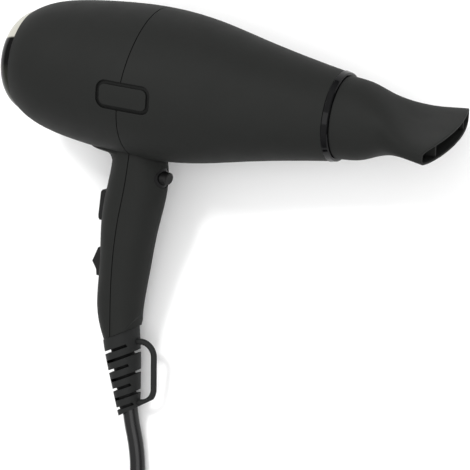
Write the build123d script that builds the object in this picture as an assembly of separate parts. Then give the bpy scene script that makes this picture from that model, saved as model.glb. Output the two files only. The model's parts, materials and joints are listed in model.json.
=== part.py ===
from build123d import *
import os
from math import cos, pi, radians, sin, tan

# Hair dryer, lying on its side on a table.
# It is drawn upright first: x runs along the barrel towards the outlet, y is sideways, z is up
# and the handle hangs down.  lay_down() then turns it onto its side, left side up.

# ---------------------------------------------------------------- driving dimensions, mm
WALL = 2.2                      # thickness of the moulded casing
RIM_X = -80.0                   # rear rim of the casing
FRONT_X = 110.3                 # front end of the casing
BARREL_R = 43.0                 # largest radius, at the middle seam
# half outline of the barrel from the rear rim to the front end
BARREL = [(RIM_X, 29.8), (-70.0, 34.9), (-55.0, 38.7), (-32.0, 41.5), (0.0, BARREL_R),
          (30.0, 40.3), (60.0, 33.95), (90.0, 27.95), (FRONT_X, 24.5)]

# handle sections: height, centre, half depth, half width
HANDLE = [(-26.0, -3.45, 19.75, 17.8), (-43.0, -5.65, 15.3, 17.3), (-55.0, -4.9, 16.7, 17.0),
          (-70.0, -6.25, 17.35, 16.6), (-85.0, -7.5, 16.4, 16.2), (-114.0, -7.75, 14.25, 15.0),
          (-150.0, -3.4, 11.6, 12.9), (-165.0, -1.95, 9.7, 12.0)]
# hollow curve behind the top of the handle: height, rear edge
ROOT = [(-37.0, -33.0), (-42.4, -24.5), (-43.4, -22.95), (-44.6, -22.0), (-46.0, -21.25),
        (-48.5, -20.7)]
ROOT_FRONT, ROOT_HALF_WIDTH = 6.0, 15.6
# foot of the handle, slimmer at the front below a chamfer: height, centre, half depth, half width
FOOT = [(-118.0, -10.4, 12.5, 15.7), (-137.0, -6.8, 11.5, 14.1), (-150.0, -4.5, 10.9, 13.2),
        (-172.0, -0.6, 10.0, 12.2)]
CHAMFER = [(12.0, -119.4), (-2.0, -151.2)]
# line on which the front and rear shells part: (x, z)
PARTING = [(0.0, 60.0), (0.0, 6.0), (-3.4, -29.0), (-3.9, -43.0), (-4.8, -59.0), (-6.8, -77.0),
           (-7.8, -96.0), (-7.6, -116.0), (-6.8, -131.0), (-3.6, -170.0)]
HANDLE_END = [(-16.5, -153.6), (5.4, -140.3)]       # slanted joint between handle and boot

BOOT_TOP = (-4.65, -150.0)      # x, z of a point on the axis of the cord boot
BOOT_LEAN = 13.3                # forward lean of the boot axis, degrees
# boot sections: distance along its axis, half depth, half width
BOOT = [(-16.0, 11.6, 13.4), (0.0, 10.25, 12.4), (12.0, 9.7, 11.1), (24.0, 8.5, 9.6),
        (36.0, 7.2, 8.0), (46.5, 6.1, 6.4)]
BOOT_END, BOOT_END_SLANT = 42.9, 22.0       # where the axis leaves the slanted lower end
SLOT_START, SLOT_PITCH = 4.9, 5.72          # flexing slots of the boot
SLOT_W = 1.7
SLOT_SLANT = 16.0
LEAD_BORE = 3.0
SOCKET_AT, SOCKET_OFF = 40.4, 0.9           # seat of the cord in the boot's lower end
LOOP_D = 3.5                    # wire of the hanging loop
TILT = 10.5                     # the handle end dips this much, so that the boot nears the table

SEAM_WIDE, SEAM_DEEP = 0.5, 0.6     # fine groove where the shells meet

DUCT_R = 35.4                   # outside of the fan duct
MOTOR_R = 13.9
SHAFT_R = 1.15
BEARING_GAP = 0.05
HEAT_TUBE_R = 21.6
SPIGOT_R = 19.4                 # collar that the nozzle clips over

NOZZLE_TURN = 15.0              # the slot is turned this much about the barrel axis
# nozzle sections: x, half width along the slot, half height
NOZZLE = [(114.1, 22.8, 22.7), (126.0, 21.8, 21.2), (140.0, 22.6, 14.9), (154.0, 28.4, 8.2),
          (178.5, 36.4, 5.0)]
NOZZLE_WALL = 1.3
NOZZLE_TIP = 176.4
NOZZLE_BOW = 5.0                # the middle of the mouth stands out past its ends

SPEED_Z = -74.0                 # pivots of the two rocker switches
HEAT_Z = -107.0
ROCKER_PIVOT_X = -17.3
COOL_Z = -52.5                  # height of the cool-shot button
COOL_TIP = 14.2                 # its outer end
BEZEL_BACK = 7.2
BADGE_X, BADGE_Z = 0.8, -5.0    # inlaid plate on each side, on the seam
BADGE_W, BADGE_H = 32.8, 15.8
BADGE_CORNER = 5.3
BADGE_GROOVE = 2.2
BADGE_DEEP = 1.5

# mains cord, lying on the table; x, y, z once the dryer is laid down
CORD_D = 9.0
CORD_LENGTH = 1780.0
CORD_Z = CORD_D / 2
CORD_GAP = 0.05                 # clearance round the cord in its socket
CORD_LEAD = 8.0                 # the cord runs this far along the boot's axis
CORD_ROUTE = [(-30.8, -132.6, 4.8), (-26.7, -147.0, CORD_Z), (-24.7, -166.0, CORD_Z),
              (-24.6, -190.0, CORD_Z)]
COIL_R = 48.0                   # middle turn of the stored coil
COIL_WIDE = 3                   # turns side by side
COIL_HIGH = 2                   # layers
COIL_SPOT = (32.4, -210.0)
TAIL_Z = 11.0
TAIL_ROUTE = [(70.2, -252.7, 1.5 * CORD_D), (88.2, -237.2, 11.9), (102.6, -218.4, TAIL_Z),
              (108.6, -198.9, TAIL_Z)]
TIE_AT = 100.0                  # direction of the tie from the coil's centre, degrees
TIE_WIDE, TIE_THICK = 9.0, 1.0
PLUG_RELIEF, PLUG_BODY = 22.0, 26.0     # lengths of the plug's cord relief and body
PLUG_WIDE = 36.0
PIN_LENGTH, PIN_R, PIN_SPACING = 18.0, 2.4, 19.0
PIN_TIP = 1.0                   # chamfer past the pin's full length


# ---------------------------------------------------------------- helpers
def ring(r_out, r_in, x0, x1):
    """Plain ring or, with r_in 0, a disc about the barrel axis."""
    flat = Circle(r_out) - Circle(r_in) if r_in else Circle(r_out)
    return extrude(Plane.YZ.offset(x0) * flat, x1 - x0)


def rod_x(r, x0, x1, y=0.0, z=0.0):
    return Pos(0, y, z) * ring(r, 0, x0, x1)


def block(x0, x1, y0, y1, z0, z1):
    size = (x1 - x0, y1 - y0, z1 - z0)
    return Pos((x0 + x1) / 2, (y0 + y1) / 2, (z0 + z1) / 2) * Box(*size)


def turned(points):
    """Solid of revolution about the barrel axis from a closed outline of (x, r) corners."""
    return revolve(Plane.XZ * make_face(Polyline(*points, close=True)), Axis.X, 360)


def side_prism(points, half_width):
    """Outline in the x-z plane, drawn out to both sides."""
    return extrude(Plane.XZ * make_face(Polyline(*points, close=True)), half_width, both=True)


def barrel_solid(inset=0.0):
    outline = [(x, r - inset) for x, r in BARREL]
    (x0, r0), (x1, r1) = outline[0], outline[-1]
    edges = Spline(*outline) + Polyline((x1, r1), (x1, 0), (x0, 0), (x0, r0))
    return revolve(Plane.XZ * make_face(edges), Axis.X, 360)


def ellipse_loft(sections, inset):
    """Loft of level oval sections: height, centre, half depth, half width."""
    return loft([Pos(c, 0, z) * Ellipse(a - inset, b - inset) for z, c, a, b in sections])


def handle_solid(inset=0.0):
    (x0, z0), (x1, z1) = CHAMFER
    beyond = side_prism([(x0 - inset, z0), (x1 - inset, z1), (x1 - inset, -175), (40, -175), (40, z0)], 60)
    return ellipse_loft(HANDLE, inset) - (beyond - ellipse_loft(FOOT, inset))


def handle_root():
    sections = [(z, (ROOT_FRONT + rear) / 2, (ROOT_FRONT - rear) / 2, ROOT_HALF_WIDTH)
                for z, rear in ROOT]
    return ellipse_loft(sections, 0.0)


# the part of space in front of the parting line
FRONT_REGION = extrude(Plane.XZ * make_face(
    Spline(*PARTING) + Polyline(PARTING[-1], (200, -170), (200, 60), PARTING[0])), 70, both=True)


def below_joint(lift=0.0):
    """Everything below the slanted joint of handle and boot, moved up by lift."""
    (x0, z0), (x1, z1) = HANDLE_END
    slope = (z1 - z0) / (x1 - x0)
    left, right = -60.0, 60.0
    return side_prism([(left, z0 + slope * (left - x0) + lift),
                       (right, z0 + slope * (right - x0) + lift), (right, -260), (left, -260)], 60)


def stadium_x(half_y, half_z, x0, x1, z):
    """Oval prism along x."""
    return Pos(0, 0, z) * extrude(Plane.YZ.offset(x0) * Ellipse(half_y, half_z), x1 - x0)


# ---------------------------------------------------------------- casing
def badge_prism(shrink, side):
    """Rounded rectangle seen from the side; side is -1 for the left of the dryer, +1 for the right."""
    face = RectangleRounded(BADGE_W - 2 * shrink, BADGE_H - 2 * shrink, BADGE_CORNER - shrink)
    prism = extrude(Plane.XZ * Pos(BADGE_X, BADGE_Z) * face, 60)
    return prism if side < 0 else mirror(prism, Plane.XZ)


def casing():
    outer = barrel_solid() + handle_solid() + handle_root()
    inner = barrel_solid(WALL) + handle_solid(WALL)
    inner += ring(BARREL[0][1] - WALL, 0, RIM_X - 1, RIM_X + 2)
    inner += ring(BARREL[-1][1] - WALL, 0, FRONT_X - 2, FRONT_X + 1)
    shell = outer - inner - below_joint()
    # recess for the inlaid side plates
    floor = barrel_solid(BADGE_DEEP)
    for side in (-1, 1):
        shell -= badge_prism(0, side) - floor
    # openings for the two rockers and the cool-shot bezel
    shell -= block(-40, -19.5, -5.4, 5.4, SPEED_Z - 10.4, SPEED_Z + 10.2)
    shell -= block(-40, -18.5, -5.4, 5.4, HEAT_Z - 9.8, HEAT_Z + 9.8)
    shell -= stadium_x(8.9, 5.6, BEZEL_BACK - 0.1, 30, COOL_Z)
    return shell


SCREWS = [(-91.0, -20.3, 3.5, 3.6), (-124.3, -16.6, 1.5, 3.4)]   # z, head x, tip x, boss radius


def seam_groove(shell):
    """Outer skin of the shell in a narrow band behind the parting line."""
    skin = shell - barrel_solid(SEAM_DEEP) - handle_solid(SEAM_DEEP)
    return skin & (Pos(-SEAM_WIDE, 0, 0) * FRONT_REGION - FRONT_REGION)


def housings():
    shell = casing()
    front = shell & FRONT_REGION
    rear = shell - FRONT_REGION - seam_groove(shell)
    room = handle_solid(WALL - 0.3)
    for z, head_x, tip_x, boss_r in SCREWS:
        boss = rod_x(boss_r, -30, tip_x + 2.5, z=z) & room
        front += boss & FRONT_REGION
        rear += boss - FRONT_REGION
        front -= rod_x(1.5, -30, tip_x, z=z)
        rear -= rod_x(1.5, -30, tip_x, z=z)
        rear -= rod_x(2.7, -30, head_x + 2.0, z=z)
    return front, rear


def badge(side):
    plate = badge_prism(BADGE_GROOVE, side)
    return plate & (barrel_solid(0.1) - barrel_solid(BADGE_DEEP))


def front_trim_ring():
    end_r = BARREL[-1][1]
    lip = turned([(FRONT_X, SPIGOT_R - 1), (FRONT_X, end_r + 0.1), (FRONT_X + 0.5, end_r + 0.4),
                  (FRONT_X + 3.1, end_r - 0.3), (FRONT_X + 3.6, end_r - 0.9),
                  (FRONT_X + 3.6, SPIGOT_R - 1)])
    return lip + ring(SPIGOT_R, SPIGOT_R - 1, FRONT_X + 3, FRONT_X + 12)


def rear_trim_ring():
    r = BARREL[0][1]
    outer = Plane.XZ * make_face(
        ThreePointArc((RIM_X, r - 0.1), (RIM_X - 5.2, r - 2.6), (RIM_X - 9.0, r - 6.6))
        + Polyline((RIM_X - 9.0, r - 6.6), (RIM_X - 7.6, r - 7.6), (RIM_X - 1, r - 4.4),
                   (RIM_X + 4, r - 4.4), (RIM_X + 4, r - WALL - 0.35),
                   (RIM_X, r - WALL - 0.35), (RIM_X, r - 0.1)))
    return revolve(outer, Axis.X, 360)


def rear_grille():
    """Slightly domed intake cover with rings of slots between eight spokes."""
    r = BARREL[0][1] - 7.7
    dome = turned([(RIM_X - 7.2, r), (RIM_X - 8.8, 12), (RIM_X - 9.6, 0), (RIM_X - 7.8, 0),
                   (RIM_X - 7.0, 12), (RIM_X - 5.4, r)])
    slots = ring(19.9, 17.3, -100, -70) + ring(15.2, 12.6, -100, -70) + ring(10.5, 7.9, -100, -70)
    spoke = block(-101, -69, -0.9, 0.9, -24, 24)
    for k in range(4):
        slots -= Rot(45 * k, 0, 0) * spoke
    return dome - slots


def filter_mesh():
    """Perforated lint screen behind the intake cover."""
    disc = ring(24.6, 0, RIM_X + 1.0, RIM_X + 1.8)
    hole = rod_x(1.25, RIM_X, RIM_X + 3)
    cuts = []
    for r, count in ((4.2, 8), (8.4, 16), (12.6, 24), (16.8, 32), (21.0, 40)):
        cuts += [Rot(360 * k / count, 0, 0) * Pos(0, r, 0) * hole for k in range(count)]
    return disc - Compound(cuts)


# ---------------------------------------------------------------- fan and motor
def fan_duct():
    """Duct wall, cone towards the heater, seven stator vanes and the motor's sleeve in one piece."""
    r = DUCT_R
    shell = turned([(-58, r), (-10, r), (-10, 40.2), (-8, 40.2), (-8, r), (20, HEAT_TUBE_R + 0.4),
                    (20, HEAT_TUBE_R - 0.8), (-8, r - 1.2), (-58, r - 1.2)])
    duct = shell + ring(16.4, 15.0, -38, -8)
    vane = block(-36, -12, -0.7, 0.7, 16.0, r - 0.8)
    for k in range(7):
        duct += Rot(360 / 7 * k, 0, 0) * vane
    return duct


def impeller():
    hub = turned([(-57.5, 0), (-56, 6.5), (-53, 10.4), (-49, 12), (-43, 12), (-43, 10.8),
                  (-46, 10.8), (-46, 3.2), (-43, 3.2), (-43, 0)])
    blade = Pos(-49.5, 0, 22.6) * Rot(0, 0, 38) * Box(12.5, 1.1, 21.6)
    wheel = hub
    for k in range(9):
        wheel += Rot(40 * k, 0, 0) * blade
    wheel &= ring(DUCT_R - 2.0, 0, -60, -42)
    return wheel - rod_x(SHAFT_R + 0.01, -56, -40)


def motor_can():
    return ring(MOTOR_R, MOTOR_R - 1, -36, 12) + ring(MOTOR_R, 3.2, 12, 13)


def motor_end_cap():
    return ring(MOTOR_R, 3.2, -38.5, -36)


def bearing(x0, x1):
    return ring(3.2, SHAFT_R + BEARING_GAP, x0, x1)


def motor_magnets():
    """Two curved magnets inside the can."""
    arc = ring(MOTOR_R - 1.05, MOTOR_R - 2.5, -26, -2)
    gap = block(-30, 0, -20, 20, -4, 4)
    return arc - gap


def armature():
    core = ring(10.9, SHAFT_R + 0.01, -26, -2)
    for k in range(5):
        core -= Rot(72 * k, 0, 0) * block(-28, 0, -1.1, 1.1, 6.0, 12)
    return core + ring(3.9, SHAFT_R + 0.01, -33, -25.5) + ring(7.6, SHAFT_R + 0.01, -28, 0)


def motor_brushes():
    brush = block(-32.4, -29.4, -1.6, 1.6, 4.0, 9.5)
    return Compound([brush, Rot(180, 0, 0) * brush])


def rubber_sleeve():
    return ring(14.95, MOTOR_R + 0.05, -34, -12)


def rectifier_board():
    """Round board on two posts in front of the motor, with its four diodes."""
    board = ring(12.5, 4, 17, 18.6)
    for k in range(4):
        board += Rot(90 * k + 45, 0, 0) * block(18.4, 21.2, -2.2, 2.2, 6.2, 10.6)
    return board + rod_x(1.2, 13, 17.2, y=8.5) + rod_x(1.2, 13, 17.2, y=-8.5)


# ---------------------------------------------------------------- heater
def heat_tube():
    return ring(HEAT_TUBE_R, HEAT_TUBE_R - 0.8, 20.05, 109.5)


def heater_cross():
    return block(31, 99, -0.4, 0.4, -17, 17) + block(31, 99, -17, 17, -0.4, 0.4)


def heating_coil():
    """Resistance wire wound round the crossed boards."""
    return Compound([Pos(38 + 7 * k, 0, 0) * Rot(0, 90, 0) * Torus(17.9, 0.55) for k in range(9)])


def thermostat():
    return rod_x(4.2, 33, 36.5, 6.5, 6.5) + rod_x(3.0, 36, 38, 6.5, 6.5)


def thermal_fuse():
    return rod_x(2.0, 52, 62, -5.5, 6.0) + rod_x(0.5, 47, 67, -5.5, 6.0)


def outlet_grille():
    """Protective grid at the outlet: three rings on six spokes."""
    grid = ring(20.7, 19.4, 105, 107.5) + ring(14.6, 13.4, 105, 107.5) + ring(8.2, 7.0, 105, 107.5)
    grid += ring(2.6, 0, 105, 107.5)
    for k in range(3):
        grid += Rot(60 * k, 0, 0) * block(105.3, 107.3, -0.6, 0.6, -20, 20)
    return grid


# ---------------------------------------------------------------- nozzle
def slot_section(x, half_w, half_h, inset=0.0):
    """Oval section of the nozzle at x."""
    return Plane.YZ.offset(x) * Ellipse(half_w - inset, half_h - inset)


def nozzle_halves():
    """Two shells that meet in the plane of the flat mouth."""
    outer = loft([slot_section(*section) for section in NOZZLE])
    inner = loft([slot_section(*section, NOZZLE_WALL) for section in NOZZLE])
    half = NOZZLE[-1][1]
    bow_r = (half ** 2 + NOZZLE_BOW ** 2) / (2 * NOZZLE_BOW)
    past_tip = block(150, 190, -60, 60, -60, 60)
    past_tip -= extrude(Plane.XY * Pos(NOZZLE_TIP - bow_r, 0) * Circle(bow_r), 70, both=True)
    shell = outer - inner - past_tip
    upper_side = block(100, 200, -60, 60, 0, 60)
    halves = (shell & upper_side, shell - upper_side)
    return [Rot(NOZZLE_TURN, 0, 0) * half for half in halves]


def nozzle_snap_ring():
    return ring(20.4, SPIGOT_R + BEARING_GAP, FRONT_X + 4.2, FRONT_X + 9.8)


# ---------------------------------------------------------------- switches
def rocker(outline, z):
    cap = side_prism(outline, 5.1)
    cap = fillet(cap.edges().filter_by(Axis.Y).group_by(Axis.X)[0], 0.7)
    stem = block(-22.6, ROCKER_PIVOT_X + 1.6, -4.4, 4.4, z - 1.6, z + 1.6)
    pin = Pos(ROCKER_PIVOT_X, 0, z) * Rot(90, 0, 0) * Cylinder(1.0, 12.2)
    return cap + stem + pin


def speed_rocker():
    z = SPEED_Z
    return rocker([(-21.8, z + 8.8), (-24.8, z + 8.8), (-25.7, z + 7.4), (-25.8, z - 6.0),
                   (-25.6, z - 7.6), (-24.8, z - 8.8), (-21.8, z - 8.8)], z)


def heat_rocker():
    z = HEAT_Z
    return rocker([(-20.9, z + 8.2), (-23.6, z + 8.2), (-26.6, z - 0.4), (-23.6, z - 4.6),
                   (-22.9, z - 8.2), (-20.9, z - 8.2)], z)


def switch_body(z, half_z):
    body = block(-15.2, -8.5, -6.2, 6.2, z - half_z, z + half_z)
    for side in (-1, 1):
        body += block(-19.0, -14, side * 5.45 - 0.65, side * 5.45 + 0.65, z - 2.2, z + 2.2)
    body -= Pos(ROCKER_PIVOT_X, 0, z) * Rot(90, 0, 0) * Cylinder(1.0 + BEARING_GAP, 20)
    return body


def cool_bezel():
    oval = stadium_x(8.85, 5.55, BEZEL_BACK, 30, COOL_Z) & handle_solid(0.4)
    return oval - stadium_x(5.7, 3.95, 0, 30, COOL_Z)


def cool_button():
    cap = stadium_x(5.4, 3.65, BEZEL_BACK - 2, COOL_TIP, COOL_Z)
    cap = fillet(cap.edges().group_by(Axis.X)[-1], 1.2)
    return cap + stadium_x(7.2, 4.9, BEZEL_BACK - 1.9, BEZEL_BACK - 0.3, COOL_Z)


def cool_spring():
    """Return spring, drawn as its three closed turns at the pressed length."""
    turn = Rot(0, 90, 0) * Torus(2.2, 0.4)
    return Compound([Pos(0.2 + 0.9 * k, 0, COOL_Z) * turn for k in range(3)])


def cool_switch():
    return block(-6.8, -0.3, -5.5, 5.5, COOL_Z - 5, COOL_Z + 4.4)


def capacitor():
    body = block(-17.0, -10.0, -6.5, 6.5, -61.0, -49.0)
    return fillet(body.edges().filter_by(Axis.X), 1.0)


# ---------------------------------------------------------------- boot, clamp and wires
BOOT_PLANE = Plane(origin=(BOOT_TOP[0], 0, BOOT_TOP[1]),
                   x_dir=(cos(radians(BOOT_LEAN)), 0, sin(radians(BOOT_LEAN))),
                   z_dir=(sin(radians(BOOT_LEAN)), 0, -cos(radians(BOOT_LEAN))))


def boot():
    """Rubber cord boot with staggered slots and the hanging loop, moulded in one."""
    body = loft([BOOT_PLANE * Pos(0, 0, s) * Ellipse(a, b) for s, a, b in BOOT])
    body &= below_joint(-0.02)
    body += handle_solid(WALL + 0.3) & below_joint(8.0) - below_joint(-0.5)
    for k in range(7):
        s = SLOT_START + SLOT_PITCH * k
        core = 7.3 - 0.05 * s
        slot = Cylinder(20, SLOT_W) - Cylinder(core, SLOT_W)
        if k % 2 == 0:
            slot &= Pos(-20 + 7.9 - 0.05 * s, 0, 0) * Box(40, 50, 10)
        else:
            slot &= Pos(20 - 8.0 + 0.07 * s, 0, 0) * Box(40, 50, 10)
        body -= BOOT_PLANE * Pos(0, 0, s) * Rot(0, SLOT_SLANT, 0) * slot
    past_end = Pos(0, 0, BOOT_END) * Rot(0, BOOT_END_SLANT, 0) * Pos(0, 0, 15) * Box(60, 60, 30)
    bore = Pos(0, 0, 48) * Cylinder(LEAD_BORE, 130)
    socket = Pos(SOCKET_OFF, 0, SOCKET_AT + 10) * Cylinder(CORD_D / 2 + CORD_GAP, 20)
    return body + hanging_loop() - BOOT_PLANE * past_end - BOOT_PLANE * bore - BOOT_PLANE * socket


def hanging_loop():
    path = FilletPolyline((7.5, 1.9), (20.9, 2.4), (16.7, 37.6), (5.0, 37.9), radius=8.6)
    path = BOOT_PLANE * Plane.XZ * path
    start = path @ 0
    profile = Plane(origin=start, z_dir=path % 0) * Circle(LOOP_D / 2)
    return sweep(profile, path=path)


def cord_clamp():
    bar = block(-12.6, -9.0, -8, 8, -133.6, -129.2)
    for y in (-5, 5):
        bar -= rod_x(1.1, -20, 0, y, -131.4)
    return bar


def clamp_screws():
    screw = rod_x(1.7, -13.8, -12.6) + rod_x(1.05, -12.7, -5.5)
    return Compound([Pos(0, y, -131.4) * screw for y in (-5, 5)])


def housing_screws():
    screws = []
    for z, head_x, tip_x, boss_r in SCREWS:
        head = rod_x(2.5, head_x, head_x + 2.0, z=z)
        head -= block(head_x - 0.1, head_x + 0.9, -2.0, 2.0, z - 0.35, z + 0.35)
        head -= block(head_x - 0.1, head_x + 0.9, -0.35, 0.35, z - 2.0, z + 2.0)
        screws.append(head + rod_x(1.45, head_x + 1.9, tip_x - 0.5, z=z))
    return Compound(screws)


def lead_wires():
    """Live and neutral leads from the cord clamp to the heater, one on each side."""
    wires = []
    for side in (-1, 1):
        path = FilletPolyline((-6.5, side * 3.0, -128.5), (-6.5, side * 9.6, -116), (-6.0, side * 9.6, -62),
                              (1.0, side * 8.4, -41.5), (24.0, side * 6.0, -25.5), radius=5)
        wires.append(sweep(Plane(origin=path @ 0, z_dir=path % 0) * Circle(1.0), path=path))
    return Compound(wires)


# ---------------------------------------------------------------- laying it down
def lay_down(shape):
    """Turn the upright dryer onto its right side, with the boot dipping towards the table."""
    turned_over = Rot(TILT - 90, 0, 0) * shape
    return Pos(-ORIGIN[0], -ORIGIN[1], BARREL_R) * turned_over


REAR_END = RIM_X - 9.6
BOOT_END_R = 6.15
BOOT_LONG = BOOT_END + BOOT_END_R * tan(radians(BOOT_END_SLANT))
BOOT_END_Z = BOOT_TOP[1] - BOOT_LONG * cos(radians(BOOT_LEAN)) - BOOT_END_R * sin(radians(BOOT_LEAN))
# middle of the footprint of the dryer without its cord
ORIGIN = ((REAR_END + NOZZLE_TIP) / 2,
          (BARREL_R + BOOT_END_Z * cos(radians(TILT))) / 2)


# ---------------------------------------------------------------- mains cord, on the table
def cord_tube(points):
    """Straight runs joined by tangent arcs, each as large as its two runs allow."""
    pts = [Vector(*p) for p in points]
    runs = [b - a for a, b in zip(pts, pts[1:])]
    radii = []
    for before, after in zip(runs, runs[1:]):
        half_turn = radians(before.get_angle(after)) / 2
        radii.append(0.45 * min(before.length, after.length) / tan(half_turn))
    print("cord radii", [round(r, 1) for r in radii])
    path = FilletPolyline(*pts, radius=radii)
    return sweep(Plane(origin=path @ 0, z_dir=path % 0) * Circle(CORD_D / 2), path=path), path.length


def cord_start(along):
    """Point on the line of the cord's socket, in the laid-down frame."""
    place = BOOT_PLANE * Pos(SOCKET_OFF, 0, SOCKET_AT + CORD_GAP + along)
    x, _, z = place.position
    return (x - ORIGIN[0], z * cos(radians(TILT)) - ORIGIN[1], z * sin(radians(TILT)) + BARREL_R)


def coil_frame():
    return Pos(COIL_SPOT[0], COIL_SPOT[1], 0)


def tie_frame():
    return coil_frame() * Rot(0, 0, TIE_AT) * Pos(COIL_R, 0, 0)


def cord_tie():
    """Flat strap round the coil's turns."""
    inner_wide = COIL_WIDE * CORD_D + 1.2
    strap = Box(inner_wide + 2 * TIE_THICK, TIE_WIDE, COIL_HIGH * CORD_D + 2 * TIE_THICK)
    hollow = Box(inner_wide, 2 * TIE_WIDE, COIL_HIGH * CORD_D)
    middle = TIE_THICK + COIL_HIGH * CORD_D / 2
    return tie_frame() * Pos(0, 0, middle) * (strap - hollow)


def cord_coil():
    half = COIL_WIDE * CORD_D / 2
    coil = extrude(coil_frame() * (Circle(COIL_R + half) - Circle(COIL_R - half)), COIL_HIGH * CORD_D)
    strap_slot = Box(4 * half, TIE_WIDE + 0.4, TIE_THICK, align=(Align.CENTER, Align.CENTER, Align.MIN))
    return coil - tie_frame() * strap_slot


def plug_place():
    (x0, y0, z0), (x1, y1, z1) = TAIL_ROUTE[-2:]
    along = Vector(x1 - x0, y1 - y0, 0)
    return Location(Plane(origin=(x1, y1, z1), x_dir=(0, 0, 1), z_dir=along.normalized()))


def plug_body():
    """Flat two-pin plug with a tapered cord relief, pointing along local z."""
    relief = loft([Circle(5.2), Pos(0, 0, PLUG_RELIEF * 0.6) * Circle(6.4),
                   Pos(0, 0, PLUG_RELIEF + 1) * Circle(8.2)])
    block_2d = RectangleRounded(2 * TAIL_Z, PLUG_WIDE, 9.5)
    body = Pos(0, 0, PLUG_RELIEF) * extrude(block_2d, PLUG_BODY)
    body = chamfer(body.faces().sort_by(Axis.Z)[0].edges(), 5.0, 7.0)
    body = fillet(body.faces().sort_by(Axis.Z)[-1].edges(), 1.2)
    return plug_place() * (relief + body)


def plug_pins():
    pins = []
    for side in (-1, 1):
        pin = Cylinder(PIN_R, PIN_LENGTH + PIN_TIP, align=(Align.CENTER, Align.CENTER, Align.MIN))
        pin = chamfer(pin.edges().sort_by(Axis.Z)[-1], PIN_TIP)
        pins.append(Pos(0, side * PIN_SPACING / 2, PLUG_RELIEF + PLUG_BODY) * pin)
    return plug_place() * Compound(pins)


# ---------------------------------------------------------------- write every piece
def build():
    front, rear = housings()
    nozzle_upper, nozzle_lower = nozzle_halves()
    upright = {
        "front_housing": front, "rear_housing": rear,
        "badge_left": badge(-1), "badge_right": badge(1),
        "front_trim_ring": front_trim_ring(), "rear_trim_ring": rear_trim_ring(),
        "rear_grille": rear_grille(), "filter_mesh": filter_mesh(),
        "fan_duct": fan_duct(), "impeller": impeller(),
        "motor_can": motor_can(), "motor_end_cap": motor_end_cap(),
        "motor_magnets": motor_magnets(), "motor_brushes": motor_brushes(),
        "armature": armature(), "motor_shaft": rod_x(SHAFT_R, -54, 15.5),
        "bearing_front": bearing(11, 14.5), "bearing_rear": bearing(-39.5, -35.5),
        "rubber_sleeve": rubber_sleeve(), "rectifier_board": rectifier_board(),
        "heat_tube": heat_tube(), "heater_cross": heater_cross(), "heating_coil": heating_coil(),
        "thermostat": thermostat(), "thermal_fuse": thermal_fuse(),
        "outlet_grille": outlet_grille(),
        "nozzle_upper": nozzle_upper, "nozzle_lower": nozzle_lower,
        "nozzle_snap_ring": nozzle_snap_ring(),
        "speed_rocker": speed_rocker(), "heat_rocker": heat_rocker(),
        "speed_switch": switch_body(SPEED_Z, 9.0), "heat_switch": switch_body(HEAT_Z, 7.5),
        "cool_bezel": cool_bezel(), "cool_button": cool_button(), "cool_spring": cool_spring(),
        "cool_switch": cool_switch(), "capacitor": capacitor(),
        "cord_boot": boot(), "cord_clamp": cord_clamp(), "clamp_screws": clamp_screws(),
        "housing_screws": housing_screws(), "lead_wires": lead_wires(),
    }
    pieces = {name: lay_down(shape) for name, shape in upright.items()}

    tube, tube_length = cord_tube([cord_start(0.0), cord_start(CORD_LEAD)] + CORD_ROUTE)
    tail, tail_length = cord_tube(TAIL_ROUTE)
    pieces.update(cord=tube, cord_tail=tail, cord_coil=cord_coil(), cord_tie=cord_tie(),
                  plug_body=plug_body(), plug_pins=plug_pins())
    turns = (CORD_LENGTH - tube_length - tail_length) / (2 * pi * COIL_R)
    print("cord starts at", [round(v, 2) for v in cord_start(0.0)])
    print("cord lead ends at", [round(v, 2) for v in cord_start(CORD_LEAD)])
    print("origin", [round(v, 3) for v in ORIGIN])
    print("tube volume / section x length", round(tube.volume / (pi * CORD_D ** 2 / 4 * tube_length), 4),
          "tube", round(tube_length, 1), "tail", round(tail_length, 1), "turns", round(turns, 2))
    return pieces


if __name__ == "__main__":
    os.makedirs("parts", exist_ok=True)
    for name, shape in build().items():
        export_step(shape, f"parts/{name}.step")
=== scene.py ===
import json
import math

import bpy
import numpy as np
from mathutils import Matrix, Vector


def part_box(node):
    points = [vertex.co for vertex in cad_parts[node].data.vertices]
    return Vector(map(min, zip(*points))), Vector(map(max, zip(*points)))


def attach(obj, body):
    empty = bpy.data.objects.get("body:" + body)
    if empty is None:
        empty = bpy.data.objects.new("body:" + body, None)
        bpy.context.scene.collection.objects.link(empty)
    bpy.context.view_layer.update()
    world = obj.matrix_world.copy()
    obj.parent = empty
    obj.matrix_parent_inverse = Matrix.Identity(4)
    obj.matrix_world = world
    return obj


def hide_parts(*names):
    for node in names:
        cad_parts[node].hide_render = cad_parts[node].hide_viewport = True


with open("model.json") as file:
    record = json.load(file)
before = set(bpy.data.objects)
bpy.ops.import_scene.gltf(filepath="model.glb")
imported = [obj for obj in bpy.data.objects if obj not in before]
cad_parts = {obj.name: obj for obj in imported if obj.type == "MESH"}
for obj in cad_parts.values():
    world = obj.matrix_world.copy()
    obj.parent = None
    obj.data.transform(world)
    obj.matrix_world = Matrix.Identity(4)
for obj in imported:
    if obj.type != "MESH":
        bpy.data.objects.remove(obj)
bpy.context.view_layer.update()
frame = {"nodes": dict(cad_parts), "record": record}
NODES = frame["nodes"]
MM = 0.001

# ------------------------------------------------------------------ places, read from the frame
TILT = math.radians(10.5)       # the handle end dips this much below the level of the barrel
RING_LOW, RING_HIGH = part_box("rear_trim_ring")
AXIS_Y = (RING_LOW.y + RING_HIGH.y) / 2
AXIS_Z = (RING_LOW.z + RING_HIGH.z) / 2
GRILLE_X = -89.6                # rear end of the upright dryer's own x axis, mm
SHIFT_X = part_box("rear_grille")[0].x - GRILLE_X * MM


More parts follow.
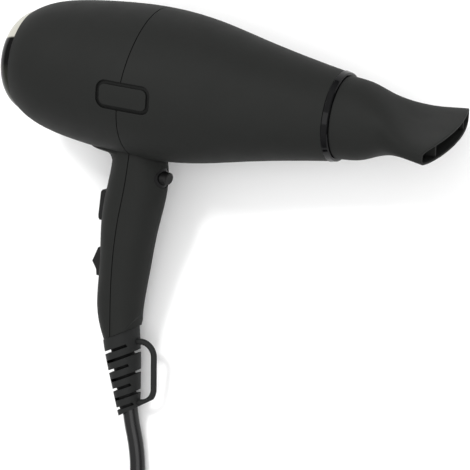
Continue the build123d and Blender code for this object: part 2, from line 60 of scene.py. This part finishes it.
def dryer(x, y, z):
    """Point of the upright dryer, in mm, as a point of the laid-down frame, in metres.
    x runs to the outlet, y to the dryer's right side, z up from the barrel's axis."""
    return Vector((
        SHIFT_X + x * MM,
        AXIS_Y + (z * math.cos(TILT) + y * math.sin(TILT)) * MM,
        AXIS_Z + (z * math.sin(TILT) - y * math.cos(TILT)) * MM))


# ------------------------------------------------------------------ camera
CAMERA_AT = Vector((0.4185, 0.0408, 0.9635))
CAMERA_RIGHT = Vector((0.8973, 0.1948, -0.3960))
CAMERA_UP = Vector((-0.1946, 0.9800, 0.0412))
CAMERA_LENS = 140.29
SENSOR_WIDTH = 36.0
CLIP_NEAR, CLIP_FAR = 0.05, 20.0


def make_camera():
    data = bpy.data.cameras.new("camera")
    data.lens = CAMERA_LENS
    data.sensor_width = SENSOR_WIDTH
    data.clip_start, data.clip_end = CLIP_NEAR, CLIP_FAR
    camera = bpy.data.objects.new("camera", data)
    right = CAMERA_RIGHT.normalized()
    up = (CAMERA_UP - right * CAMERA_UP.dot(right)).normalized()
    back = right.cross(up)
    turn = Matrix((right, up, back)).transposed().to_4x4()
    camera.matrix_world = Matrix.Translation(CAMERA_AT) @ turn
    bpy.context.scene.collection.objects.link(camera)
    bpy.context.scene.camera = camera


make_camera()

# ------------------------------------------------------------------ mains cord
CORD_D = 9.0
CORD_Z = CORD_D / 2
CORD_EXIT = (-37.87, -111.34, 8.53)
CORD_ROUTE = [(-36.03, -118.99, 7.11), (-30.8, -132.6, 4.8), (-26.7, -147.0, CORD_Z),
              (-24.7, -166.0, CORD_Z), (-24.6, -190.0, CORD_Z)]
TAIL_ROUTE = [(70.2, -252.7, 13.5), (88.2, -237.2, 10.9), (102.6, -218.4, 10.3),
              (108.6, -198.9, 11.0)]
COIL_SPOT = (32.4, -210.0)
COIL_R = 48.0
COIL_START = 183.0              # direction in which the cord meets its coil, degrees
COIL_END = 311.5                # direction in which it leaves the coil after the last turn
COIL_TURNS = 5
POINTS_PER_TURN = 18
# turn at which each step to the next ring begins, and by how much the radius changes
RING_STEPS = [(0.75, -CORD_D), (1.75, -CORD_D), (3.5, CORD_D), (4.5, CORD_D)]
STEP_LONG = 0.25                # share of a turn that a step takes
CLIMB_FROM = 2.6                # turn at which the cord climbs to the second layer
CLIMB_LONG = 0.25               # share of a turn that the climb takes
TIE_AT = 100.0                  # direction of the strap from the coil's middle, degrees
TIE_THICK = 1.0
TIE_SPREAD = 16.0               # degrees over which the turns rise onto the strap
CURVE_ORDER = 3
CURVE_STEPS = 8                 # fineness of the curve, along it and round its section


def ease(t):
    """Smooth step from 0 to 1."""
    t = min(1.0, max(0.0, t))
    return t * t * (3 - 2 * t)


def coil_points():
    """Turns of the coil: inwards on the table, up a layer, and outwards again on top."""
    total = COIL_TURNS + (COIL_END - COIL_START) / 360
    count = round(total * POINTS_PER_TURN)
    spread = 1 / math.cos(math.pi / POINTS_PER_TURN)
    points = []
    for k in range(1, count):
        turn = total * k / count
        radius = COIL_R + CORD_D        # the outer of three rings
        for begin, change in RING_STEPS:
            radius += change * ease((turn - begin) / STEP_LONG)
        z = CORD_Z + CORD_D * ease((turn - CLIMB_FROM) / CLIMB_LONG)
        angle = COIL_START + 360 * turn
        off = (angle - TIE_AT + 180) % 360 - 180
        z += TIE_THICK * math.exp(-(off / TIE_SPREAD) ** 2)
        a = math.radians(angle)
        points.append((COIL_SPOT[0] + spread * radius * math.cos(a),
                       COIL_SPOT[1] + spread * radius * math.sin(a), z))
    return points


def make_cord():
    points = [CORD_EXIT] + CORD_ROUTE + coil_points() + TAIL_ROUTE
    curve = bpy.data.curves.new("cord_line", "CURVE")
    curve.dimensions = "3D"
    spline = curve.splines.new("NURBS")
    spline.points.add(len(points) - 1)
    for point, place in zip(spline.points, points):
        point.co = (*(v * MM for v in place), 1.0)
        point.radius = CORD_D / 2 * MM      # on the points, so that the curve's own box is true
    spline.order_u = CURVE_ORDER
    spline.use_endpoint_u = True
    spline.resolution_u = CURVE_STEPS
    spline.use_smooth = True
    curve.bevel_depth = 1.0
    curve.bevel_resolution = CURVE_STEPS
    curve.use_fill_caps = True
    cord = bpy.data.objects.new("mains_cord", curve)
    bpy.context.scene.collection.objects.link(cord)
    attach(cord, "casing")
    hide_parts("cord", "cord_tail", "cord_coil")
    return cord


cord = make_cord()


# ------------------------------------------------------------------ nozzle
NOZZLE_TURN = math.radians(15.0)
NOZZLE_TIP = 176.4
NOZZLE_BOW = 5.1                # the middle of the mouth stands this far out past its ends
BOW_FROM = 0.6                  # share of the nozzle's length at which the bow begins
NOZZLE_WALL = 1.3
LIP = 0.35                      # rounding of the mouth's edges
# sections: x, half width along the slot, half height, squareness of the outline
NOZZLE = [(114.1, 22.7, 22.65, 2.0), (126.0, 20.6, 21.05, 2.1), (140.0, 20.9, 14.7, 2.35),
          (154.0, 28.7, 7.9, 3.0), (NOZZLE_TIP, 36.0, 4.7, 5.0)]
NOZZLE_RINGS, NOZZLE_SPOKES = 48, 160
SHARP_EDGE = 35                 # degrees from which an edge stays sharp
RIB_ACROSS = 21.0               # from the middle of the mouth to each rib
RIB_THICK = 1.1
RIB_LONG = 14.0
RIB_BACK = 1.2                  # the ribs end this far inside the mouth
RIB_ROOT = 0.4                  # and go this far into the wall
BOX_FACES = [(0, 3, 2, 1), (4, 5, 6, 7), (0, 1, 5, 4), (1, 2, 6, 5), (2, 3, 7, 6), (3, 0, 4, 7)]


def nozzle_section(x):
    """Half width, half height and squareness at x, through the sections as a smooth curve."""
    stations = np.array([row[0] for row in NOZZLE])
    k = int(np.clip(np.searchsorted(stations, x) - 1, 0, len(NOZZLE) - 2))
    step = stations[k + 1] - stations[k]
    t = (x - stations[k]) / step
    result = []
    for column in (1, 2, 3):
        values = np.array([row[column] for row in NOZZLE])
        slopes = np.gradient(values, stations)
        start = values[k] * (1 + 2 * t) + step * slopes[k] * t
        end = values[k + 1] * (3 - 2 * t) - step * slopes[k + 1] * (1 - t)
        result.append(start * (1 - t) ** 2 + end * t * t)
    return result


def nozzle_ring(share, inset, pull=0.0):
    """Closed ring of points at a share of the way to the mouth, inset from the outer face
    and pulled back from the mouth."""
    ring = []
    for j in range(NOZZLE_SPOKES):
        angle = 2 * math.pi * j / NOZZLE_SPOKES
        c, s = math.cos(angle), math.sin(angle)
        x = NOZZLE[0][0] + share * (NOZZLE_TIP - NOZZLE[0][0])
        wide, high, square = nozzle_section(x)
        y = math.copysign(abs(c) ** (2 / square), c) * (wide - inset)
        z = math.copysign(abs(s) ** (2 / square), s) * (high - inset)
        bowed = max(0.0, (share - BOW_FROM) / (1 - BOW_FROM))
        end = NOZZLE_BOW * (y / NOZZLE[-1][1]) ** 2 * bowed
        ring.append(nozzle_point(x - end - pull, y, z))
    return ring


def nozzle_point(x, across, up):
    """Point of the nozzle, by the directions along and across its slot."""
    c, s = math.cos(NOZZLE_TURN), math.sin(NOZZLE_TURN)
    return dryer(x, across * c - up * s, across * s + up * c)


def make_nozzle():
    shares = [k / NOZZLE_RINGS for k in range(NOZZLE_RINGS + 1)]
    rings = [nozzle_ring(share, 0.0, LIP if share == 1 else 0.0) for share in shares]
    rings.append(nozzle_ring(1.0, LIP))
    rings.append(nozzle_ring(1.0, NOZZLE_WALL - LIP))
    rings += [nozzle_ring(share, NOZZLE_WALL, LIP if share == 1 else 0.0)
              for share in reversed(shares)]
    points = [point for ring in rings for point in ring]
    n = NOZZLE_SPOKES
    faces = []
    for i in range(len(rings)):
        here, there = i * n, (i + 1) % len(rings) * n
        for j in range(n):
            k = (j + 1) % n
            faces.append((here + j, here + k, there + k, there + j))
    # two short ribs across the mouth
    for side in (-1, 1):
        tip = NOZZLE_TIP - NOZZLE_BOW * (RIB_ACROSS / NOZZLE[-1][1]) ** 2 - RIB_BACK
        base = len(points)
        for x in (tip - RIB_LONG, tip):
            wide, high, square = nozzle_section(x)
            half = high * (1 - (RIB_ACROSS / wide) ** square) ** (1 / square)
            half += RIB_ROOT - NOZZLE_WALL
            for across, up in ((-1, -1), (1, -1), (1, 1), (-1, 1)):
                y = side * RIB_ACROSS + across * RIB_THICK / 2
                points.append(nozzle_point(x, y, up * half))
        faces += [tuple(base + v for v in face) for face in BOX_FACES]
    mesh = bpy.data.meshes.new("nozzle_shell")
    mesh.from_pydata(points, [], faces)
    mesh.shade_smooth()
    mesh.set_sharp_from_angle(angle=math.radians(SHARP_EDGE))
    nozzle = bpy.data.objects.new("nozzle_shell", mesh)
    bpy.context.scene.collection.objects.link(nozzle)
    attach(nozzle, "nozzle_body")
    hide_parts("nozzle_upper", "nozzle_lower")
    return nozzle


nozzle = make_nozzle()


# ------------------------------------------------------------------ materials
# scales of the noise, in cycles per metre
MOTTLE_SCALE, GLOSS_SCALE, WAVE_SCALE = 38, 90, 120
TARNISH_SCALE, LINE_SCALE = 60, 900
FLECK_SHADE = 0.8               # a fleck against the surface round it
GROOVE_PAINTED_SHADE = 0.25             # painted shade: colour at the bottom of grooves against the open surface
TARNISH_SHADE = 0.88
LINE_ROUGHNESS = 0.05           # how far the lines on metal change its roughness
METAL_EDGE, RING_EDGE = 0.0002, 0.0003  # rounding of the edges, in metres
RING_SCRATCH = 0.000003         # depth of the lines on the rear ring, in metres
WORN_EDGE = (0.80, 0.985)       # cosines between the rounded and the plain face, worn to unworn
GROOVE_SHADE_RANGE = (0.35, 0.85)      # for the painted shade in grooves: share of the surroundings seen, deep in grooves to open surface
AROUND = (1.0, 0.05, 0.05)      # draws lines out round a turned part

# the rear ring, by the direction of a point from the barrel's axis: black, with painted
# reflections as a bright band and a dim olive band
RING_BLACK = (0.003, 0.003, 0.003)
RING_OLIVE_REFLECTION = (0.017, 0.018, 0.014)
RING_PAINTED_REFLECTION = (0.45, 0.44, 0.39)
REFLECTION_AT = math.radians(45)    # middle of the painted bright reflection, from the frame's y towards its z
REFLECTION_EDGE = (0.897, 0.915)    # cosines of the angle from there between which black turns to the painted bright reflection
OLIVE_REFLECTION_EDGE = (0.42, 0.57)       # and between which the painted olive reflection turns black


class Finish:
    """Node tree of one procedural material."""

    def __init__(self, name):
        self.material = bpy.data.materials.new(name)
        self.material.use_nodes = True
        self.tree = self.material.node_tree
        self.shader = self.tree.nodes["Principled BSDF"]
        self.place = self.add("ShaderNodeTexCoord").outputs["Object"]

    def add(self, kind, **values):
        node = self.tree.nodes.new(kind)
        for key, value in values.items():
            setattr(node, key, value)
        return node

    def link(self, start, end):
        self.tree.links.new(start, end)

    def noise(self, scale, detail=3.0, rough=0.55, stretch=None):
        """Fractal noise from 0 to 1; scale is in cycles per metre."""
        node = self.add("ShaderNodeTexNoise")
        node.inputs["Scale"].default_value = scale
        node.inputs["Detail"].default_value = detail
        node.inputs["Roughness"].default_value = rough
        place = self.place
        if stretch:
            squeeze = self.add("ShaderNodeMapping")
            squeeze.inputs["Scale"].default_value = stretch
            self.link(place, squeeze.inputs["Vector"])
            place = squeeze.outputs["Vector"]
        self.link(place, node.inputs["Vector"])
        return node.outputs["Fac"]

    def spread(self, value, low, high, start=0.3, end=0.7):
        """Value from start to end, stretched to low and high."""
        node = self.add("ShaderNodeMapRange")
        set_range(node, start, end, low, high)
        self.link(value, node.inputs["Value"])
        return node.outputs["Result"]

    def blend(self, share, low, high):
        """Colour between low and high, which are colours or sockets."""
        node = self.add("ShaderNodeMix", data_type="RGBA")
        self.link(share, node.inputs["Factor"])
        for key, colour in (("A", low), ("B", high)):
            socket = [s for s in node.inputs if s.name == key and s.type == "RGBA"][0]
            if isinstance(colour, bpy.types.NodeSocket):
                self.link(colour, socket)
            else:
                socket.default_value = (*colour, 1.0)
        return [s for s in node.outputs if s.type == "RGBA"][0]

    def edges(self, width):
        """1 on sharp edges and 0 on faces; width is in metres."""
        rounded = self.add("ShaderNodeBevel", samples=4)
        rounded.inputs["Radius"].default_value = width
        plain = self.add("ShaderNodeNewGeometry")
        same = self.add("ShaderNodeVectorMath", operation="DOT_PRODUCT")
        self.link(rounded.outputs["Normal"], same.inputs[0])
        self.link(plain.outputs["Normal"], same.inputs[1])
        return self.spread(same.outputs["Value"], 1.0, 0.0, *WORN_EDGE)

    def painted_groove_shade(self, reach):
        """Painted shade mask: 1 in the open and 0 deep in grooves, where shade falls; reach is in
        metres.
        """
        node = self.add("ShaderNodeAmbientOcclusion", samples=8)
        node.inputs["Distance"].default_value = reach
        return self.spread(node.outputs["AO"], 0.0, 1.0, *GROOVE_SHADE_RANGE)

    def bump(self, heights, soft_edge=0.0):
        """Surface relief: (height, depth in metres) pairs, one on another."""
        normal = None
        if soft_edge:
            rounded = self.add("ShaderNodeBevel", samples=4)
            rounded.inputs["Radius"].default_value = soft_edge
            normal = rounded.outputs["Normal"]
        for height, depth in heights:
            node = self.add("ShaderNodeBump")
            node.inputs["Distance"].default_value = depth
            node.inputs["Strength"].default_value = 1.0
            self.link(height, node.inputs["Height"])
            if normal:
                self.link(normal, node.inputs["Normal"])
            normal = node.outputs["Normal"]
        self.link(normal, self.shader.inputs["Normal"])

    def set(self, **numbers):
        for key, number in numbers.items():
            self.shader.inputs[key.replace("_", " ")].default_value = number


def set_range(node, start, end, low, high):
    """Values from start to end come out of the node from low to high."""
    ends = (("From Min", start), ("From Max", end), ("To Min", low), ("To Max", high))
    for key, number in ends:
        node.inputs[key].default_value = number


def shade(colour, factor):
    return tuple(min(1.0, c * factor) for c in colour)


def moulded(name, colour, rough, mottle=0.08, grain=2600, grain_depth=0.00003, wave_depth=0.0,
            worn=1.0, edge=0.0006, rough_range=0.06, groove_shade=0.0, **numbers):
    """Moulded or cast surface: uneven tone, fine grain and uneven gloss, with lighter worn
    edges and painted shade in grooves where it is asked for. numbers are the shader's own values."""
    f = Finish(name)
    uneven = f.spread(f.noise(MOTTLE_SCALE, 4), 0.0, 1.0)
    tone = f.blend(uneven, shade(colour, 1 - mottle), shade(colour, 1 + mottle))
    flecks = f.spread(f.noise(grain * 0.5, 2), 0.0, 0.35)
    tone = f.blend(flecks, tone, shade(colour, FLECK_SHADE))
    if worn > 1.0:
        tone = f.blend(f.edges(edge), tone, shade(colour, worn))
    # painted shade: the colour darkens deep in grooves, where shade falls
    if groove_shade:
        tone = f.blend(f.painted_groove_shade(groove_shade), shade(colour, GROOVE_PAINTED_SHADE), tone)
    f.link(tone, f.shader.inputs["Base Color"])
    f.link(f.spread(f.noise(GLOSS_SCALE, 5), rough - rough_range, rough + rough_range),
           f.shader.inputs["Roughness"])
    layers = [(f.noise(grain, 3, 0.6), grain_depth)]
    if wave_depth:
        layers.append((f.noise(WAVE_SCALE, 2), wave_depth))
    f.bump(layers, soft_edge=edge)
    f.set(**numbers)
    return f.material


def metal(name, colour, rough, stretch=None, scratch=0.000008):
    """Drawn, ground or plated metal with fine lines and slightly dulled patches."""
    f = Finish(name)
    dull = f.spread(f.noise(TARNISH_SCALE, 5), 0.0, 1.0)
    f.link(f.blend(dull, colour, shade(colour, TARNISH_SHADE)), f.shader.inputs["Base Color"])
    lines = f.noise(LINE_SCALE, 4, 0.65, stretch)
    f.link(f.spread(lines, rough - LINE_ROUGHNESS, rough + LINE_ROUGHNESS),
           f.shader.inputs["Roughness"])
    f.bump([(lines, scratch)], soft_edge=METAL_EDGE)
    f.set(Metallic=1.0)
    return f.material


def painted_reflection_ring(name, rough):
    """Gloss black ring with painted reflections in its colour: one bright band, and a dim painted
    olive reflection on the side opposite it.
    """
    f = Finish(name)
    from_axis = f.add("ShaderNodeVectorMath", operation="SUBTRACT")
    f.link(f.place, from_axis.inputs[0])
    from_axis.inputs[1].default_value = (0.0, AXIS_Y, AXIS_Z)
    flat = f.add("ShaderNodeVectorMath", operation="MULTIPLY")
    f.link(from_axis.outputs["Vector"], flat.inputs[0])
    flat.inputs[1].default_value = (0.0, 1.0, 1.0)
    level = f.add("ShaderNodeVectorMath", operation="NORMALIZE")
    f.link(flat.outputs["Vector"], level.inputs[0])
    toward = f.add("ShaderNodeVectorMath", operation="DOT_PRODUCT")
    f.link(level.outputs["Vector"], toward.inputs[0])
    toward.inputs[1].default_value = (0.0, math.cos(REFLECTION_AT), math.sin(REFLECTION_AT))
    # painted reflections in the colour: a bright band on one side of the ring and a dim olive band
    # opposite it
    reflection_share = f.spread(toward.outputs["Value"], 0.0, 1.0, *REFLECTION_EDGE)
    olive_reflection_share = f.spread(toward.outputs["Value"], 1.0, 0.0, *OLIVE_REFLECTION_EDGE)
    dark = f.blend(olive_reflection_share, RING_BLACK, RING_OLIVE_REFLECTION)
    f.link(f.blend(reflection_share, dark, RING_PAINTED_REFLECTION), f.shader.inputs["Base Color"])
    lines = f.noise(LINE_SCALE, 4, 0.65, AROUND)
    f.link(f.spread(lines, rough - 0.03, rough + 0.05), f.shader.inputs["Roughness"])
    f.bump([(lines, RING_SCRATCH)], soft_edge=RING_EDGE)
    f.set(Specular_IOR_Level=0.05)
    return f.material


finishes = {
    "soft_black": moulded("soft_black", (0.0150, 0.0156, 0.0148), 0.62, mottle=0.04,
                          worn=1.25, rough_range=0.03, groove_shade=0.0022, Specular_IOR_Level=0.08),
    "gloss_black": moulded("gloss_black", (0.003, 0.003, 0.0034), 0.06, rough_range=0.02,
                           grain_depth=0.000001, edge=0.0003, Specular_IOR_Level=0.12),
    # the rear ring's colour holds painted reflections: a bright band and a dim olive band on black
    "bright_ring": painted_reflection_ring("bright_ring", 0.08),
    "grille_black": moulded("grille_black", (0.012, 0.012, 0.012), 0.5, worn=1.8, edge=0.0003),
    "mesh_steel": metal("mesh_steel", (0.42, 0.42, 0.43), 0.35),
    "duct_plastic": moulded("duct_plastic", (0.50, 0.45, 0.36), 0.5),
    "fan_plastic": moulded("fan_plastic", (0.06, 0.06, 0.065), 0.42, worn=1.5),
    "motor_steel": metal("motor_steel", (0.50, 0.50, 0.52), 0.33, AROUND),
    "motor_plastic": moulded("motor_plastic", (0.68, 0.65, 0.55), 0.45),
    "magnet": moulded("magnet", (0.05, 0.05, 0.053), 0.5),
    "copper": metal("copper", (0.62, 0.27, 0.13), 0.3, AROUND, scratch=0.00003),
    "shaft_steel": metal("shaft_steel", (0.62, 0.62, 0.64), 0.16, AROUND),
    "bronze": metal("bronze", (0.52, 0.34, 0.17), 0.35),
    "rubber_grey": moulded("rubber_grey", (0.06, 0.06, 0.06), 0.7),
    "board_green": moulded("board_green", (0.03, 0.14, 0.05), 0.35),
    "mica": moulded("mica", (0.50, 0.40, 0.25), 0.4, mottle=0.2, wave_depth=0.00005),
    "nichrome": metal("nichrome", (0.33, 0.29, 0.27), 0.35),
    "ceramic": moulded("ceramic", (0.75, 0.73, 0.68), 0.3),
    "switch_red": moulded("switch_red", (0.03, 0.03, 0.03), 0.4),
    "button_soft": moulded("button_soft", (0.012, 0.012, 0.012), 0.5, worn=1.7, edge=0.0004,
                           Specular_IOR_Level=0.12),
    "spring_steel": metal("spring_steel", (0.55, 0.55, 0.57), 0.22),
    "cap_yellow": moulded("cap_yellow", (0.60, 0.42, 0.04), 0.35),
    "boot_rubber": moulded("boot_rubber", (0.0150, 0.0156, 0.0154), 0.62, grain=1800,
                           grain_depth=0.00005, worn=1.2, groove_shade=0.003, Specular_IOR_Level=0.12),
    "screw_steel": metal("screw_steel", (0.48, 0.48, 0.50), 0.28),
    "wire_insulation": moulded("wire_insulation", (0.03, 0.08, 0.35), 0.4),
    "cord_black": moulded("cord_black", (0.003, 0.003, 0.0035), 0.24, rough_range=0.05, grain=900,
                          grain_depth=0.00001, wave_depth=0.00006, edge=0.0,
                          Specular_IOR_Level=0.3),
    "tie_black": moulded("tie_black", (0.012, 0.012, 0.012), 0.65, grain=1500, grain_depth=0.0001),
    "plug_black": moulded("plug_black", (0.009, 0.009, 0.010), 0.38, worn=1.5, edge=0.0008),
    "pin_nickel": metal("pin_nickel", (0.70, 0.67, 0.60), 0.18, scratch=0.00001),
}


def paint(obj, finish):
    """One finish on the whole of a piece."""
    obj.data.materials.clear()
    obj.data.materials.append(finishes[finish])
    if obj.type == "MESH":
        obj.data.polygons.foreach_set("material_index", [0] * len(obj.data.polygons))


def finish_nodes():
    for part in frame["record"]["subparts"]:
        node = NODES[part["node"]]
        paint(node, part["material_slot"])


finish_nodes()
paint(cord, "cord_black")
paint(nozzle, "soft_black")

# ------------------------------------------------------------------ floor and light
FLOOR_HALF = 3.0
FLOOR_TONE = (0.92, 0.92, 0.92)
FLOOR_MOTTLE = 0.015
FLOOR_ROUGH = (0.82, 0.9)
MIDDLE = (0.0, 0.0, 0.03)       # both lights face this point
# lights: place and size in metres, power in watts
KEY = ((-0.424, 0.600, 1.211), 0.28, 7)
FILL = ((0.9, -0.3, 1.5), 1.6, 12)
# sky: rise of the line of sight at which it starts and stops brightening, its strength at each
SKY = (0.0, 0.6, 0.25, 1.15)


def make_floor():
    mesh = bpy.data.meshes.new("floor")
    corners = [(x * FLOOR_HALF, y * FLOOR_HALF, 0)
               for x, y in ((-1, -1), (1, -1), (1, 1), (-1, 1))]
    mesh.from_pydata(corners, [], [(0, 1, 2, 3)])
    floor = bpy.data.objects.new("floor", mesh)
    bpy.context.scene.collection.objects.link(floor)
    f = Finish("floor_pale")
    tone = f.blend(f.noise(3, 3), shade(FLOOR_TONE, 1 - FLOOR_MOTTLE),
                   shade(FLOOR_TONE, 1 + FLOOR_MOTTLE))
    f.link(tone, f.shader.inputs["Base Color"])
    f.link(f.spread(f.noise(14, 4), *FLOOR_ROUGH), f.shader.inputs["Roughness"])
    f.bump([(f.noise(700, 2), 0.00003)])
    mesh.materials.append(f.material)


def make_light(name, at, size, power):
    data = bpy.data.lights.new(name, "AREA")
    data.shape = "DISK"
    data.size = size
    data.energy = power
    light = bpy.data.objects.new(name, data)
    light.location = at
    light.rotation_mode = "QUATERNION"
    light.rotation_quaternion = (Vector(at) - Vector(MIDDLE)).to_track_quat("Z", "Y")
    bpy.context.scene.collection.objects.link(light)


def make_world():
    """White sky, dim at the horizon, so that the upright sides stay dark."""
    world = bpy.data.worlds.new("studio")
    world.use_nodes = True
    tree = world.node_tree
    place = tree.nodes.new("ShaderNodeTexCoord")
    split = tree.nodes.new("ShaderNodeSeparateXYZ")
    rise = tree.nodes.new("ShaderNodeMapRange")
    set_range(rise, *SKY)
    tree.links.new(place.outputs["Generated"], split.inputs["Vector"])
    tree.links.new(split.outputs["Z"], rise.inputs["Value"])
    tree.links.new(rise.outputs["Result"], tree.nodes["Background"].inputs["Strength"])
    tree.nodes["Background"].inputs["Color"].default_value = (1.0, 1.0, 1.0, 1.0)
    bpy.context.scene.world = world
    bpy.context.scene.view_settings.view_transform = "Standard"


make_floor()
make_light("key", *KEY)
make_light("fill", *FILL)
make_world()
